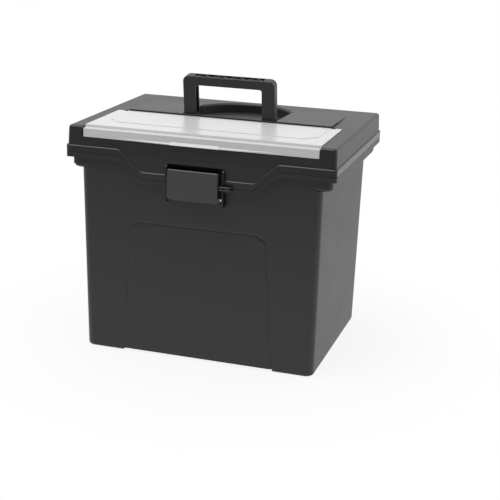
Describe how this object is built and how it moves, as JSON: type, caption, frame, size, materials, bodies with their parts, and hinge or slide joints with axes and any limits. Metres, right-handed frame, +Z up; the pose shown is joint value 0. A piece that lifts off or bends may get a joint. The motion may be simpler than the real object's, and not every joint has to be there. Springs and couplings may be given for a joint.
{
  "type": "portable file box",
  "caption": "Portable file box: tapered moulded tub for hanging files, hinged lid with a covered organizer tray, folding carry handle and one front latch with lock tabs.",
  "frame": {"origin": "centre of the underside, on the ground", "axes": "+Z up, +X to the right seen from the front, -Y towards the latch"},
  "size_m": [0.351, 0.2724, 0.3529],
  "materials": {
    "black_plastic": "fine moulded texture",
    "pearl_plastic": "smooth pearl",
    "steel": "drawn wire"
  },
  "bodies": {
    "base": {"base_tub": "black_plastic", "tub_cheek_left": "black_plastic", "tub_cheek_right": "black_plastic", "lock_tab_lower": "black_plastic", "latch_pin": "steel", "hinge_pin_left": "steel", "hinge_pin_right": "steel"},
    "lid": {"lid_shell": "black_plastic", "lid_cheek_left": "black_plastic", "lid_cheek_right": "black_plastic", "lock_tab_upper": "black_plastic", "handle_pin_left": "steel", "handle_pin_right": "steel"},
    "cover": {"organizer_cover": "pearl_plastic"},
    "carry": {"handle": "black_plastic"},
    "latch_body": {"latch": "black_plastic"}
  },
  "joints": [
    {"name": "lid_hinge", "type": "hinge", "parent": "base", "child": "lid", "pos_m": [0, 0.1329, 0.2633], "axis": [-1, 0, 0], "range_deg": [0, 110]},
    {"name": "cover_hinge", "type": "hinge", "parent": "lid", "child": "cover", "pos_m": [0, -0.0122, 0.296], "axis": [-1, 0, 0], "range_deg": [0, 84]},
    {"name": "handle_pivot", "type": "hinge", "parent": "lid", "child": "carry", "pos_m": [0, 0.0015, 0.2922], "axis": [-1, 0, 0], "range_deg": [0, 98.5]},
    {"name": "latch_pivot", "type": "hinge", "parent": "base", "child": "latch_body", "pos_m": [-0.0041, -0.13, 0.221], "axis": [1, 0, 0], "range_deg": [0, 150]}
  ]
}
